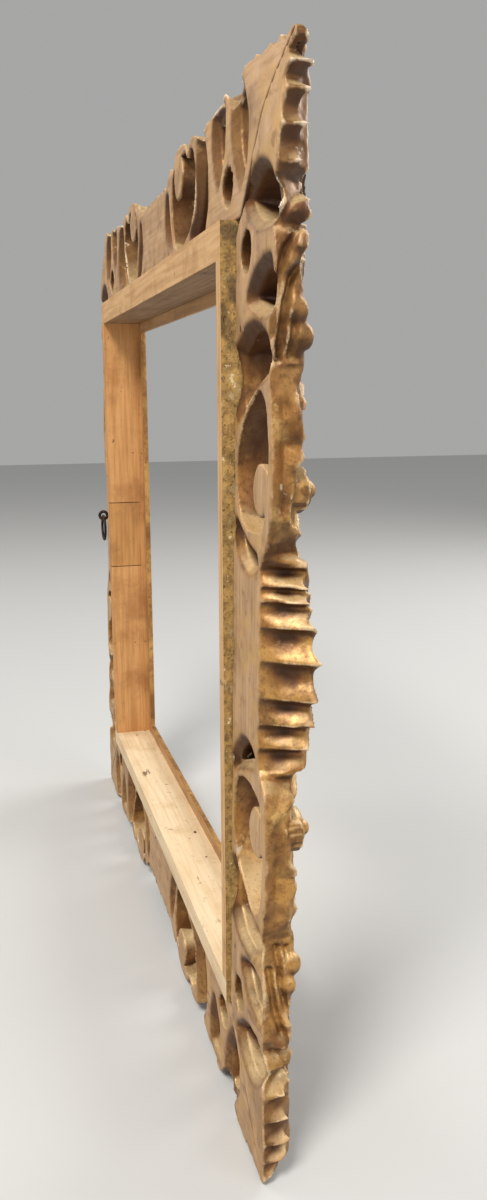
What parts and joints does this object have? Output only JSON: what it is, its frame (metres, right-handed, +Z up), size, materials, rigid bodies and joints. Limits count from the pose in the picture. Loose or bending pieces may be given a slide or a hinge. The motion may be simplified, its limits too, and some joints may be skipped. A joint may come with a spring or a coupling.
{
  "type": "carved giltwood picture frame",
  "caption": "Empty carved and pierced giltwood picture frame with a deep plain wooden box behind, gilded sight edge, fans, scrolls and corner leaves, and a swinging iron hanging ring.",
  "frame": {"origin": "middle of the footprint of the whole frame, on the surface that its lower corner leaves stand on", "axes": "+Z up the frame as it stands, +X along its width, +Y out of its back, so the gilded front faces -Y"},
  "size_m": [0.649, 0.0522, 0.629],
  "materials": {
    "box_wood": "bare aged softwood",
    "patch_wood": "bare wormy softwood",
    "peg_wood": "bare hardwood",
    "sight_gilding": "worn water gilding on gesso over wood",
    "carved_gilding": "worn water gilding on gesso over carved wood, bare at the back",
    "iron": "dark rusted wrought iron",
    "ring_iron": "dark worn wrought iron"
  },
  "bodies": {
    "frame": {"liner_top": "box_wood", "liner_bottom": "box_wood", "liner_left": "box_wood", "liner_right": "box_wood", "liner_patch": "patch_wood", "sight_strip_top": "sight_gilding", "sight_strip_bottom": "sight_gilding", "sight_strip_left": "sight_gilding", "sight_strip_right": "sight_gilding", "carved_top": "carved_gilding", "carved_bottom": "carved_gilding", "carved_left": "carved_gilding", "carved_right": "carved_gilding", "lap_pegs": "peg_wood", "border_nails": "iron", "screw_eye": "iron"},
    "ring": {"hanging_ring": "ring_iron"}
  },
  "joints": [
    {"name": "ring_swing", "type": "hinge", "parent": "frame", "child": "ring", "pos_m": [0.28, 0.02032, 0.3296], "axis": [1, 0, 0], "range_deg": [-10, 188]}
  ]
}
